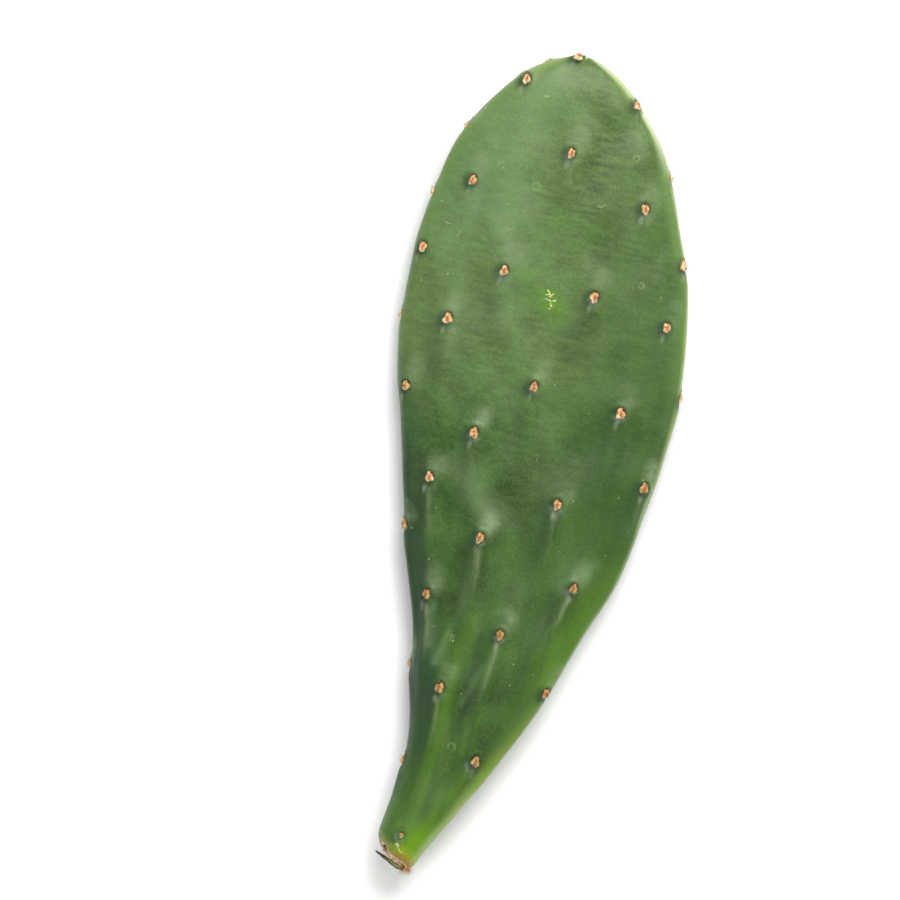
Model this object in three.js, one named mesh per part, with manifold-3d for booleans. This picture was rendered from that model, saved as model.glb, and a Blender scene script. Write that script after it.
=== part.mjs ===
// Prickly pear cactus pad: one flattened stem joint of a nearly spineless Opuntia, picked and laid
// on its back. It grew as one piece, so it is one solid: the fleshy pad, the felted areoles that
// stand on its two faces and its rim, and the dried scar of the neck it was cut at.
//
// Millimetres. Y runs from the cut neck to the tip, X across the pad, Z up. It rests on z = 0.

import * as THREE from 'three';
import * as BufferGeometryUtils from 'three/addons/utils/BufferGeometryUtils.js';
import Module from 'manifold-3d';

// Driving dimensions of the pad. The stations stand one stationStep apart, the first at the neck.
const padLength = 256;
const stationStep = 20;
const halfWidths = [5.9, 10.0, 14.8, 21.2, 27.0, 34.0, 38.2, 41.5, 44.5, 44.3, 43.7, 43.4];
const midLine = [-2.9, 3.7, 8.9, 11.1, 12.3, 12.9, 11.6, 9.8, 8.3, 6.4, 4.4, 2.0, 1.8, 1.0];
const halfThicknesses = [6.6, 7.3, 7.9, 8.3, 8.6, 8.7, 8.7, 8.6, 8.5, 8.5];
const tipStart = 160;
const tipWidthPowers = [2.6, 0.62];
const tipThicknessPowers = [2.5, 0.4];
const neckSquareness = 2.2;
const bladeSquareness = 2.8;
const bladeStart = 100;

// How the pad lies: its middle is lowest, its ends curl up a little, and the flesh is flattened
// where its weight rests.
const restAt = 142;
const neckRise = 6;
const tipRise = 3.5;
const restDepth = 0.25;

// The cut neck: the skin rolls in over a short shoulder. The cut slants across the neck and leans
// back from the upper face, and both fade out up the neck.
const scarAt = 1.0;
const shoulderLength = 3;
const scarShare = 0.8;
const cutSlant = 0.72;
const cutBow = 0.04;
const cutLean = 0.3;
const cutReach = 34;
const scarRings = [[0.88, -0.5], [0.7, 0.6], [0.45, 1.1], [0.22, 0.3]];

// What dried on the scar: a curled sliver of skin, through spots across and up from the neck, and
// a tuft of stiff fibres at the end of the cut that reaches lowest.
const sliverSpots = [[1.0, 0.3], [-0.8, -1.6], [-4.6, 0.0], [-8.7, 1.9]];
const sliverHalfWidth = 1.1;
const sliverHalfThickness = 0.45;
const sliverSteps = 10;
const fibreCount = 5;
const fibreRoot = [1.6, 0.3];
const fibreLength = 4.4;
const fibreRadius = 0.6;

// The areoles stand in files that run up the pad, at even steps along a smooth line through a few
// spots. Each spot is its place across the pad and its distance up from the neck.
const files = [
  { spots: [[-2, 6.7]], areoles: 1 },
  { spots: [[-6, 31], [-10.6, 82.8], [-7.2, 134.7], [-9.1, 185.7], [-15, 245]], areoles: 5 },
  { spots: [[15.3, 35.5], [33.3, 94.2], [35.7, 150.3], [29.4, 213.7]], areoles: 4 },
  { spots: [[-0.3, 55.5], [1.7, 103.3], [7.8, 152.6]], areoles: 3 },
  { spots: [[31.6, 60.8], [47.6, 129.4], [43.8, 179.4], [35.6, 225]], areoles: 4 },
  { spots: [[-11, 61], [-17.6, 118.4], [-22.9, 167.5], [-24.6, 211], [-20.6, 245]], areoles: 5 },
  { spots: [[14.3, 75.3], [22.8, 118.5], [19.9, 183.6], [20.2, 244.8]], areoles: 4 },
  { spots: [[-21.6, 102.5], [-30.6, 144.5], [-35, 187.5], [-30.7, 227.5]], areoles: 4 },
  { spots: [[52.9, 159], [45, 199.3]], areoles: 2 },
  { spots: [[-38, 166], [-36, 205.5], [-11.5, 251.5]], areoles: 3 },
  { spots: [[3.3, 225.6], [-1, 256]], areoles: 2 },
];
const backEdge = 0.84;

// One areole and the skin round it.
const areoleAcross = 1.4;
const areoleAlong = 1.85;
const areoleHeight = 1.5;
const areoleSunk = 0.35;
const neckAreoleShare = 0.6;
const neckAreoleReach = 34;
const moundHeight = 0.6;
const moundRadius = 9;
const dimpleDepth = 0.5;
const dimpleRadius = 2.6;
const ridgeHeights = [1.25, 0.1];
const ridgeLengths = [62, 12];
const ridgeRadius = 2.4;
const hollowDepths = [0.5, 0.1];
const hollowOffset = 4;

// Mesh steps.
const neckRings = 5;
const bladeRings = 34;
const tipRings = 24;
const ringPoints = 48;

const wasm = await Module();
wasm.setup();

// A smooth line through evenly spaced stations, read at any distance up the pad.
function atStation(stations, y) {
  const place = THREE.MathUtils.clamp(y / stationStep, 0, stations.length - 1);
  const i = Math.min(Math.floor(place), stations.length - 2);
  const f = place - i;
  const before = stations[Math.max(i - 1, 0)];
  const after = stations[Math.min(i + 2, stations.length - 1)];
  const slopeIn = (stations[i + 1] - before) / 2;
  const slopeOut = (after - stations[i]) / 2;
  const rise = stations[i + 1] - stations[i];
  return stations[i] + f * slopeIn + f * f * (3 * rise - 2 * slopeIn - slopeOut)
    + f * f * f * (slopeIn + slopeOut - 2 * rise);
}

// How far the pad has closed towards its tip: 1 on the blade, falling to 0 at the very tip.
function tipClosing(y, [inner, outer]) {
  const past = THREE.MathUtils.clamp((y - tipStart) / (padLength - tipStart), 0, 1);
  return Math.pow(1 - Math.pow(past, inner), outer);
}

// How far the neck has opened from the scar: a quarter round over the shoulder.
function neckOpening(y) {
  const short = THREE.MathUtils.clamp(1 - (y - scarAt) / shoulderLength, 0, 1);
  return scarShare + (1 - scarShare) * Math.sqrt(1 - short * short);
}

const halfWidth = (y) => atStation(halfWidths, y) * tipClosing(y, tipWidthPowers) * neckOpening(y);
const halfThickness = (y) =>
  atStation(halfThicknesses, y) * tipClosing(y, tipThicknessPowers) * neckOpening(y);
const squareness = (y) =>
  neckSquareness + (bladeSquareness - neckSquareness) * THREE.MathUtils.smoothstep(y, 0, bladeStart);

// Height of the middle of the flesh: the thickness under it, less what is flattened, plus the curl.
function middleHeight(y) {
  const down = Math.min(y - restAt, 0) / restAt;
  const up = Math.max(y - restAt, 0) / (padLength - restAt);
  return halfThicknesses[7] - restDepth + neckRise * down * down + tipRise * up * up;
}

// How far the cut slides a point along the pad, from its place in the section.
function cutSlide(y, x, z) {
  const fade = THREE.MathUtils.clamp(1 - y / cutReach, 0, 1);
  return fade * fade * (cutSlant * x - cutBow * x * x - cutLean * z);
}

// A point of the bare skin, `turn` round the section from the right rim over the upper face:
// the section is a rounded, squared-off oval.
function bareSkin(y, turn, share = 1) {
  const power = squareness(y);
  const c = Math.cos(turn);
  const s = Math.sin(turn);
  const reach = share / Math.pow(Math.pow(Math.abs(c), power) + Math.pow(Math.abs(s), power), 1 / power);
  const x = halfWidth(y) * reach * c;
  const z = halfThickness(y) * reach * s;
  return new THREE.Vector3(atStation(midLine, y) + x, y - cutSlide(y, x, z), middleHeight(y) + z);
}

// Which way the bare skin faces.
function facing(y, turn) {
  const step = 0.01;
  const inside = THREE.MathUtils.clamp(y, step, padLength - 0.5);
  const along = bareSkin(inside + step, turn).sub(bareSkin(inside - step, turn));
  const round = bareSkin(inside, turn + step).sub(bareSkin(inside, turn - step));
  return round.cross(along).negate().normalize();
}

// The turn of a spot that lies `across` of the half width from the middle line. Past the rim it
// goes on round to the other face.
function turnAt(y, across) {
  const power = squareness(y);
  const share = Math.min(Math.abs(across), 1);
  const over = Math.max(Math.abs(across) - 1, 0);
  const lift = Math.pow(1 - Math.pow(share, power), 1 / power) - over * 4;
  return Math.atan2(lift, Math.sign(across) * share);
}

// The smooth line through a file's spots, read at a share f of its length.
function alongFile(spots, f) {
  const sum = [0, 0];
  spots.forEach((spot, i) => {
    let weight = 1;
    for (let j = 0; j < spots.length; j += 1) {
      if (j !== i) weight *= (f * (spots.length - 1) - j) / (i - j);
    }
    sum[0] += weight * spot[0];
    sum[1] += weight * spot[1];
  });
  return sum;
}

// Every areole: its distance up the pad and its turn round the section.
function placeAreoles() {
  const areoles = [];
  for (const { spots, areoles: count } of files) {
    const spotAt = (k) => {
      const [x, height] = alongFile(spots, count > 1 ? k / (count - 1) : 0);
      const y = Math.min(height, padLength - 0.6);
      return { y, across: (x - atStation(midLine, y)) / halfWidth(y) };
    };
    for (let k = 0; k < count; k += 1) {
      const { y, across } = spotAt(k);
      areoles.push({ y, turn: turnAt(y, across) });
    }
    // The hidden face has the same files turned over, half a step further up.
    for (let k = 0.5; k < count - 1; k += 1) {
      const { y, across } = spotAt(k);
      if (Math.abs(across) < backEdge) areoles.push({ y, turn: -turnAt(y, -across) });
    }
  }
  return areoles.map((areole, i) => ({
    ...areole,
    root: bareSkin(areole.y, areole.turn),
    size: THREE.MathUtils.lerp(neckAreoleShare, 1, Math.min(areole.y / neckAreoleReach, 1))
      * (1 + 0.12 * Math.sin(2.4 * i)),
  }));
}

const areoles = placeAreoles();
const bell = (distance, radius) => Math.exp(-((distance / radius) ** 2));

// How far the skin stands out from the bare form: low waves, and round each areole a mound, a
// dimple, a ridge that runs down towards the neck, and a hollow on each side of that ridge.
function relief(y, turn, point) {
  let out = 0.22 * Math.sin(0.09 * point.x + 0.061 * y + 1.3) + 0.18 * Math.sin(0.13 * y - 0.07 * point.x);
  for (const areole of areoles) {
    const below = areole.y - y;
    const away = point.distanceTo(areole.root);
    out += moundHeight * bell(away, moundRadius) - dimpleDepth * bell(away, dimpleRadius);
    const upThePad = areole.y / padLength;
    const ridgeLength = THREE.MathUtils.lerp(ridgeLengths[0], ridgeLengths[1], upThePad);
    if (below > -4 && below < ridgeLength) {
      const ridgeHeight = THREE.MathUtils.lerp(ridgeHeights[0], ridgeHeights[1], upThePad);
      const hollowDepth = THREE.MathUtils.lerp(hollowDepths[0], hollowDepths[1], upThePad);
      const line = bareSkin(y, areole.turn);
      const aside = point.distanceTo(line);
      const strength = THREE.MathUtils.smoothstep(below, -4, 4)
        * (1 - THREE.MathUtils.smoothstep(below, ridgeLength * 0.3, ridgeLength));
      out += ridgeHeight * strength * bell(aside, ridgeRadius);
      out -= hollowDepth * strength * bell(aside - hollowOffset, ridgeRadius) * bell(below - 5, 8);
    }
  }
  return out * Math.min(1, halfWidth(y) / 8);
}

// The finished skin, pressed flat where it rests.
function skin(y, turn) {
  const point = bareSkin(y, turn);
  point.addScaledVector(facing(y, turn), relief(y, turn, point));
  point.z = Math.max(point.z, 0);
  return point;
}

// Distances up the pad of the rings of the skin: close at the shoulder and at the tip.
function ringHeights() {
  const heights = [];
  for (let i = 0; i < neckRings; i += 1) {
    heights.push(scarAt + shoulderLength * (1 - Math.cos((i / neckRings) * Math.PI / 2)));
  }
  for (let i = 0; i < bladeRings; i += 1) {
    heights.push(THREE.MathUtils.lerp(scarAt + shoulderLength, tipStart, i / bladeRings));
  }
  for (let i = 0; i < tipRings; i += 1) {
    heights.push(tipStart + (padLength - tipStart) * Math.sin((i / tipRings) * Math.PI / 2));
  }
  return heights;
}

// A closed skin over rings of points, with a point at each end. The rings run up the pad and each
// goes round from the right rim over the upper face.
function closeRings(start, rings, end) {
  const points = [start, ...rings.flat(), end];
  const n = rings[0].length;
  const faces = [];
  for (let j = 0; j < n; j += 1) {
    const next = (j + 1) % n;
    faces.push(0, 1 + j, 1 + next);
    for (let i = 0; i < rings.length - 1; i += 1) {
      const a = 1 + i * n;
      const b = a + n;
      faces.push(a + j, b + j, b + next, a + j, b + next, a + next);
    }
    const last = 1 + (rings.length - 1) * n;
    faces.push(last + j, points.length - 1, last + next);
  }
  const geometry = new THREE.BufferGeometry();
  geometry.setFromPoints(points);
  geometry.setIndex(faces);
  return geometry;
}

// The flesh: the scar's sunk and raised rings, then the skin from the neck to the tip.
function fleshGeometry() {
  const turns = Array.from({ length: ringPoints }, (_, j) => (j / ringPoints) * 2 * Math.PI);
  const scarPoint = (share, height, turn) => {
    const point = bareSkin(scarAt, turn, share);
    point.y -= height;
    return point;
  };
  const scar = scarRings.map(([share, height]) => turns.map((turn) => scarPoint(share, height, turn)));
  const heart = scarPoint(0, 0, 0);
  const rings = ringHeights().map((y) => turns.map((turn) => skin(y, turn)));
  const tip = new THREE.Vector3(midLine.at(-1), padLength, middleHeight(padLength));
  return closeRings(heart, [...scar.reverse(), ...rings], tip);
}

// One felted areole: an oval cushion with its root well inside the flesh.
function areoleGeometry({ y, turn, size }) {
  const cushion = new THREE.SphereGeometry(1, 8, 4);
  cushion.scale(areoleAcross * size, areoleAlong * size, areoleHeight * size);
  const out = facing(y, turn);
  const up = new THREE.Vector3(0, 1, 0).addScaledVector(out, -out.y).normalize();
  const side = new THREE.Vector3().crossVectors(up, out);
  const seat = skin(y, turn).addScaledVector(out, -areoleSunk * size);
  cushion.applyMatrix4(new THREE.Matrix4().makeBasis(side, up, out).setPosition(seat));
  return cushion;
}

// The dried sliver: a flat strip that tapers along its curl to a blunt point.
function sliverGeometry() {
  const height = middleHeight(0) + 1.4;
  const route = new THREE.CatmullRomCurve3(sliverSpots.map(([x, y]) => new THREE.Vector3(x, y, height)));
  const rings = Array.from({ length: sliverSteps + 1 }, (_, i) => {
    const f = i / sliverSteps;
    const spot = route.getPoint(f);
    const along = route.getTangent(f);
    const thick = new THREE.Vector3(-along.y, along.x, 0).multiplyScalar(sliverHalfThickness * (1 - 0.4 * f));
    const wide = new THREE.Vector3(0, 0, sliverHalfWidth * (1 - 0.75 * f * f));
    spot.z += 1.2 * f * f;
    return [[1, 0], [0, 1], [-1, 0], [0, -1]].map(([a, b]) =>
      spot.clone().addScaledVector(wide, a).addScaledVector(thick, b));
  });
  return closeRings(route.getPoint(0), rings, rings.at(-1)[0].clone().lerp(rings.at(-1)[2], 0.5));
}

// One stiff fibre of the tuft, the k-th of a small fan.
function fibreGeometry(k) {
  const spread = (k / (fibreCount - 1) - 0.5) * 1.1;
  const lift = 1.6 * Math.sin(2.4 * k + 1);
  const root = new THREE.Vector3(fibreRoot[0] + spread, fibreRoot[1], middleHeight(0) + lift);
  const way = new THREE.Vector3(Math.sin(spread) + 0.15, -Math.cos(spread), 0.15 * lift).normalize();
  const length = fibreLength * (1 - 0.25 * Math.abs(Math.sin(1.7 * k)));
  const cone = new THREE.ConeGeometry(fibreRadius, length, 5).translate(0, length / 2, 0);
  const turn = new THREE.Quaternion().setFromUnitVectors(new THREE.Vector3(0, 1, 0), way);
  return cone.applyQuaternion(turn).translate(root.x, root.y, root.z);
}

// A three.js mesh as a closed solid, and back.
function toSolid(geometry) {
  const bare = geometry.clone();
  bare.deleteAttribute('normal');
  bare.deleteAttribute('uv');
  const merged = BufferGeometryUtils.mergeVertices(bare, 1e-4);
  const mesh = new wasm.Mesh({
    numProp: 3,
    vertProperties: new Float32Array(merged.attributes.position.array),
    triVerts: new Uint32Array(merged.index.array),
  });
  return new wasm.Manifold(mesh);
}

function toGeometry(solid) {
  const { vertProperties, triVerts } = solid.getMesh();
  const geometry = new THREE.BufferGeometry();
  geometry.setAttribute('position', new THREE.BufferAttribute(vertProperties, 3));
  geometry.setIndex(new THREE.BufferAttribute(triVerts, 1));
  geometry.computeVertexNormals();
  return geometry;
}

// The space over the surface the pad lies on: what would reach below it is pressed flat.
function spaceAbove() {
  const size = 2 * padLength;
  return new THREE.BoxGeometry(size, size, size).translate(0, padLength / 2, size / 2);
}

let solid = toSolid(fleshGeometry()).add(toSolid(sliverGeometry()));
for (const areole of areoles) {
  solid = solid.add(toSolid(areoleGeometry(areole)));
}
for (let k = 0; k < fibreCount; k += 1) {
  solid = solid.add(toSolid(fibreGeometry(k)));
}
solid = solid.intersect(toSolid(spaceAbove()));

const pad = new THREE.Mesh(
  toGeometry(solid),
  new THREE.MeshStandardMaterial({ color: 0x5a7d3c, roughness: 0.45, metalness: 0 }),
);
pad.name = 'cactus_pad';

// The origin is under the middle of the pad's bounding box.
pad.geometry.computeBoundingBox();
const centre = pad.geometry.boundingBox.getCenter(new THREE.Vector3());
pad.position.set(-centre.x, -centre.y, 0);

const group = new THREE.Group();
group.add(pad);

export default group;
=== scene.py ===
import bpy, math
import numpy as np
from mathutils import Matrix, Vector


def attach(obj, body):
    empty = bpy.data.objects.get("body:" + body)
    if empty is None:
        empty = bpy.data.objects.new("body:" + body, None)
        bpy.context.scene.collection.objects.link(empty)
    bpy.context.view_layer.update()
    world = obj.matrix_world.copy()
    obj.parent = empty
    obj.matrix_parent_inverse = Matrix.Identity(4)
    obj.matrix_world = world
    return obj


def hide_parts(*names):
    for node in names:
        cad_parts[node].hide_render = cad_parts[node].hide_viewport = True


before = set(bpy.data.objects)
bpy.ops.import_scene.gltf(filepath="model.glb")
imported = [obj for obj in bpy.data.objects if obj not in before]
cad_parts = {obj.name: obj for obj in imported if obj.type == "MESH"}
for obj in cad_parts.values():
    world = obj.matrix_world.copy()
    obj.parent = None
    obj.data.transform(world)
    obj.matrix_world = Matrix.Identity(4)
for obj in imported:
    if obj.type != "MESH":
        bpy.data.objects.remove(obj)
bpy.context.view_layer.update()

mm = 0.001
# Where the part's frame stands in the pad's own millimetres.
frameAt = np.array([7.807, 126.598, 0.0])

# The pad's own places are in millimetres: x across, y up from the cut neck, z over the surface.
# The stations stand one step apart, the first at the neck.
padShape = {
    "length": 256, "stationStep": 20,
    "halfWidths": [5.9, 10.0, 14.8, 21.2, 27.0, 34.0, 38.2, 41.5, 44.5, 44.3, 43.7, 43.4],
    "midLine": [-2.9, 3.7, 8.9, 11.1, 12.3, 12.9, 11.6, 9.8, 8.3, 6.4, 4.4, 2.0, 1.8, 1.0],
    "halfThicknesses": [6.6, 7.3, 7.9, 8.3, 8.6, 8.7, 8.7, 8.6, 8.5, 8.5],
    "tipStart": 160, "tipWidthPowers": (2.6, 0.62), "tipThicknessPowers": (2.5, 0.4),
    "squareness": (2.2, 2.8), "bladeStart": 100,   # at the neck, and from bladeStart on
    "restAt": 142, "neckRise": 6, "tipRise": 3.5, "restDepth": 0.25,
    "scarAt": 1.0, "shoulderLength": 3, "scarShare": 0.8,
    "cutSlant": 0.72, "cutBow": 0.04, "cutLean": 0.3, "cutReach": 34,
    "rings": (14, 236, 112), "ringPoints": 264,    # rings on the shoulder, the blade and the tip
    "cutRings": 10, "cutShares": (0.96, 0.08), "cutBend": 0.82, "cutDepth": 3.2,
}

# Files of areoles up the pad: spots (x, y) that a smooth line runs through, and how many stand on it.
areoleFiles = [
    ([(-2, 6.7)], 1),
    ([(-6, 31), (-10.6, 82.8), (-7.2, 134.7), (-9.1, 185.7), (-15, 245)], 5),
    ([(15.3, 35.5), (33.3, 94.2), (35.7, 150.3), (29.4, 213.7)], 4),
    ([(-0.3, 55.5), (1.7, 103.3), (7.8, 152.6)], 3),
    ([(31.6, 60.8), (47.6, 129.4), (43.8, 179.4), (35.6, 225)], 4),
    ([(-11, 61), (-17.6, 118.4), (-22.9, 167.5), (-24.6, 211), (-20.6, 245)], 5),
    ([(14.3, 75.3), (22.8, 118.5), (19.9, 183.6), (20.2, 244.8)], 4),
    ([(-21.6, 102.5), (-30.6, 144.5), (-35, 187.5), (-30.7, 227.5)], 4),
    ([(52.9, 159), (45, 199.3)], 2),
    ([(-38, 166), (-36, 205.5), (-11.5, 251.5)], 3),
    ([(3.3, 225.6), (-1, 256)], 2),
]

reliefShape = {
    "waves": [(0.22, 0.09, 0.061, 1.3), (0.18, -0.07, 0.13, 0.0)],   # height, across, up, phase
    "moundHeight": 0.6, "moundRadius": 9, "rimMound": 0.25,
    "dimpleDepth": 0.5, "dimpleRadius": 2.6, "rimDimple": 0.5,
    "ridgeHeights": (1.25, 0.1), "ridgeLengths": (62, 12), "ridgeRadius": 2.4,
    "ridgeRise": 4, "ridgeHold": 0.3, "hollowDepths": (0.5, 0.1), "hollowOffset": 4, "hollowPlace": (5, 8),
    "faceStart": (0.1, 0.6), "tipStart": (228, 250), "fullWidth": 14,
    "streakRadius": 0.8, "streakEnd": (0.15, 0.55),
    "shadeOffset": 3.4, "shadeRadius": 2.4, "shadeEnd": (200, 235),
    "backEdge": 0.84, "neckShare": 0.4, "neckReach": 34,
    "sizeSwing": 0.07, "bloomSeed": 17, "blooms": (0.5, 1.0),
    "depthFactor": 3, "rivalFade": (0.5, 4), "nearFade": (9, 12),
}


def smoothStep(low, high, value):   # 0 below low, 1 above high, 3t^2 - 2t^3 between
    t = np.clip((value - low) / (high - low), 0, 1)
    return t * t * (3 - 2 * t)


def bell(distance, radius):   # exp(-(distance / radius)^2)
    return np.exp(-(distance / radius) ** 2)


def between(pair, share):   # from the first of a pair to the second
    return pair[0] + share * (pair[1] - pair[0])


def turns(count):   # even angles once round
    return np.arange(count) / count * 2 * np.pi


def polarDistance(r, a, radius, turn):
    return np.hypot(r * np.cos(a) - radius * np.cos(turn), r * np.sin(a) - radius * np.sin(turn))


def unit(vectors):
    return vectors / np.maximum(np.linalg.norm(vectors, axis=-1, keepdims=True), 1e-12)


def cubic(before, here, there, after, f):
    # from here to there, the slope at each half the rise over its neighbours
    slopeIn, slopeOut, rise = (there - before) / 2, (after - here) / 2, there - here
    return (here + f * slopeIn + f * f * (3 * rise - 2 * slopeIn - slopeOut)
            + f ** 3 * (slopeIn + slopeOut - 2 * rise))


def atStation(stations, y):   # a cubic through evenly spaced stations, repeated past the ends
    stations = np.asarray(stations, float)
    place = np.clip(y / padShape["stationStep"], 0, len(stations) - 1)
    i = np.minimum(place.astype(int), len(stations) - 2)
    before, after = stations[np.maximum(i - 1, 0)], stations[np.minimum(i + 2, len(stations) - 1)]
    return cubic(before, stations[i], stations[i + 1], after, place - i)


def tipClosing(y, powers):   # (1 - past^inner)^outer, past running 0 to 1 over the tip
    past = np.clip((y - padShape["tipStart"]) / (padShape["length"] - padShape["tipStart"]), 0, 1)
    return (1 - past ** powers[0]) ** powers[1]


def neckOpening(y):   # a quarter round over the shoulder of the cut
    short = np.clip(1 - (y - padShape["scarAt"]) / padShape["shoulderLength"], 0, 1)
    return between((padShape["scarShare"], 1), np.sqrt(1 - short * short))


def halfWidth(y):
    return atStation(padShape["halfWidths"], y) * tipClosing(y, padShape["tipWidthPowers"]) * neckOpening(y)


def halfThickness(y):
    return (atStation(padShape["halfThicknesses"], y) * tipClosing(y, padShape["tipThicknessPowers"])
            * neckOpening(y))


def squareness(y):
    return between(padShape["squareness"], smoothStep(0, padShape["bladeStart"], y))


def middleHeight(y):   # thickness under the middle, less what is flattened, plus the curl
    down = np.minimum(y - padShape["restAt"], 0) / padShape["restAt"]
    up = np.maximum(y - padShape["restAt"], 0) / (padShape["length"] - padShape["restAt"])
    return (padShape["halfThicknesses"][7] - padShape["restDepth"]
            + padShape["neckRise"] * down ** 2 + padShape["tipRise"] * up ** 2)


def bareSkin(y, turn, share=1.0):
    # round the section from the right rim over the upper face: |x/w|^p + |z/h|^p = 1, by its polar
    # angle; the cut slides each ring along the pad by slant x - bow x^2 - lean z
    y, turn = np.broadcast_arrays(np.asarray(y, float), np.asarray(turn, float))
    power = squareness(y)
    c, s = np.cos(turn), np.sin(turn)
    reach = share / (np.abs(c) ** power + np.abs(s) ** power) ** (1 / power)
    x = halfWidth(y) * reach * c
    z = halfThickness(y) * reach * s
    slide = np.clip(1 - y / padShape["cutReach"], 0, 1) ** 2 * (
        padShape["cutSlant"] * x - padShape["cutBow"] * x * x - padShape["cutLean"] * z)
    return np.stack([atStation(padShape["midLine"], y) + x, y - slide, middleHeight(y) + z], -1)


def facing(y, turn, step=0.01):   # the cross product of the two directions along the skin
    inside = np.clip(y, step, padShape["length"] - 0.5)
    along = bareSkin(inside + step, turn) - bareSkin(inside - step, turn)
    around = bareSkin(inside, turn + step) - bareSkin(inside, turn - step)
    return unit(np.cross(along, around))


def turnAt(y, across):
    # the section's angle at a share of the half width, past the rim if the share is over 1
    power = squareness(y)
    share = np.minimum(np.abs(across), 1)
    lift = (1 - share ** power) ** (1 / power) - 4 * np.maximum(np.abs(across) - 1, 0)
    return np.arctan2(lift, np.sign(across) * share)


def alongFile(spots, f):   # the polynomial through evenly spaced spots
    places = np.linspace(0, 1, len(spots)) if len(spots) > 1 else np.zeros(1)
    total = np.zeros(2)
    for i, spot in enumerate(spots):
        others = np.delete(places, i)
        total += np.prod((f - others) / (places[i] - others)) * np.array(spot, float)
    return total


def placeAreoles():
    found = []
    for spots, count in areoleFiles:
        def spotAt(k):
            x, y = alongFile(spots, k / (count - 1) if count > 1 else 0.0)
            y = np.array(min(y, padShape["length"] - 0.6))
            return y, (x - atStation(padShape["midLine"], y)) / halfWidth(y)
        for k in range(count):
            y, across = spotAt(k)
            found.append((y, turnAt(y, across)))
        for k in range(count - 1):  # the hidden face has the files turned over, half a step on
            y, across = spotAt(k + 0.5)
            if abs(across) < reliefShape["backEdge"]:
                found.append((y, -turnAt(y, -across)))
    y, turn = np.array(found, float).T
    out = facing(y, turn)
    up = unit(np.array([0.0, 1.0, 0.0]) - out * out[:, 1:2])
    shape = reliefShape
    grown = between((shape["neckShare"], 1), np.minimum(y / shape["neckReach"], 1))
    return {"y": y, "turn": turn, "root": bareSkin(y, turn), "out": out, "up": up, "side": np.cross(up, out),
            "size": grown * (1 + shape["sizeSwing"] * np.sin(2.4 * np.arange(len(y)))),
            # how strong the painted sheen above each areole is, by a seeded draw
            "bloom": np.random.default_rng(shape["bloomSeed"]).uniform(*shape["blooms"], len(y))}


areoles = placeAreoles()
print("areoles placed:", len(areoles["y"]))


def relief(y, points):
    # low waves, and round each areole a mound, a dimple, a ridge down towards the neck and a hollow
    # on each side of that ridge: sums of bells of the distance to the areole and to the ridge line
    shape = reliefShape
    x = points[..., 0]
    out = sum(height * np.sin(across * x + up * y + phase) for height, across, up, phase in shape["waves"])
    streak, shade = np.zeros_like(out), np.zeros_like(out)
    for root, rootY, turn in zip(areoles["root"], areoles["y"], areoles["turn"]):
        below = rootY - y
        away = np.linalg.norm(points - root, axis=-1)
        inside = (smoothStep(*shape["faceStart"], abs(np.sin(turn)))
                  * (1 - smoothStep(*shape["tipStart"], rootY)))
        mound, dimple = (between((shape[name], 1), inside) for name in ("rimMound", "rimDimple"))
        out += shape["moundHeight"] * mound * bell(away, shape["moundRadius"])
        out -= shape["dimpleDepth"] * dimple * bell(away, shape["dimpleRadius"])
        length, height, depth = (between(shape[name], rootY / padShape["length"])
                                 for name in ("ridgeLengths", "ridgeHeights", "hollowDepths"))
        near = (below > -shape["ridgeRise"]) & (below < length)
        low = below[near]
        line = bareSkin(y[near], turn)
        aside = np.linalg.norm(points[near] - line, axis=-1)
        strength = (smoothStep(-shape["ridgeRise"], shape["ridgeRise"], low)
                    * (1 - smoothStep(length * shape["ridgeHold"], length, low)))
        start, reach = shape["hollowPlace"]
        dip = bell(aside - shape["hollowOffset"], shape["ridgeRadius"]) * bell(low - start, reach)
        out[near] += strength * (height * bell(aside, shape["ridgeRadius"]) - depth * dip)
        # streak: a grey line along the ridge's crest, partly painted highlight; shade: painted shade on its
        # left flank, away from the light
        streak[near] += strength * bell(aside, shape["streakRadius"]) * (
            1 - smoothStep(*shape["streakEnd"], low / length))
        left = aside * np.sign(points[near][:, 0] - line[:, 0])
        lined = height / shape["ridgeHeights"][0] * (1 - smoothStep(*shape["shadeEnd"], rootY))
        shade[near] += strength * bell(left + shape["shadeOffset"], shape["shadeRadius"]) * lined
    return out * np.minimum(1, halfWidth(y) / shape["fullWidth"]), streak, shade


def nearestAreole(points):
    # Each point's place across and up from its nearest areole. A millimetre into the flesh counts as
    # depthFactor along the skin, so an areole on the other face is never the nearest. Nearness fades
    # from 1 to 0 where another areole comes as near, and far out.
    shape = reliefShape
    best = np.full(points.shape[:-1], 1e9)
    second = best.copy()
    across, up, size, bloom = (np.zeros(points.shape[:-1]) for _ in range(4))
    for i in range(len(areoles["y"])):
        offset = points - areoles["root"][i]
        aside, above = offset @ areoles["side"][i], offset @ areoles["up"][i]
        into = shape["depthFactor"] * (offset @ areoles["out"][i])
        away = np.sqrt(aside ** 2 + above ** 2 + into ** 2)
        closer = away < best
        second = np.where(closer, best, np.minimum(second, away))
        best = np.where(closer, away, best)
        across[closer], up[closer] = aside[closer], above[closer]
        size[closer], bloom[closer] = areoles["size"][i], areoles["bloom"][i]
    near = smoothStep(*shape["rivalFade"], second - best) * (1 - smoothStep(*shape["nearFade"], best))
    return across, up, size, bloom, near


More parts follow.
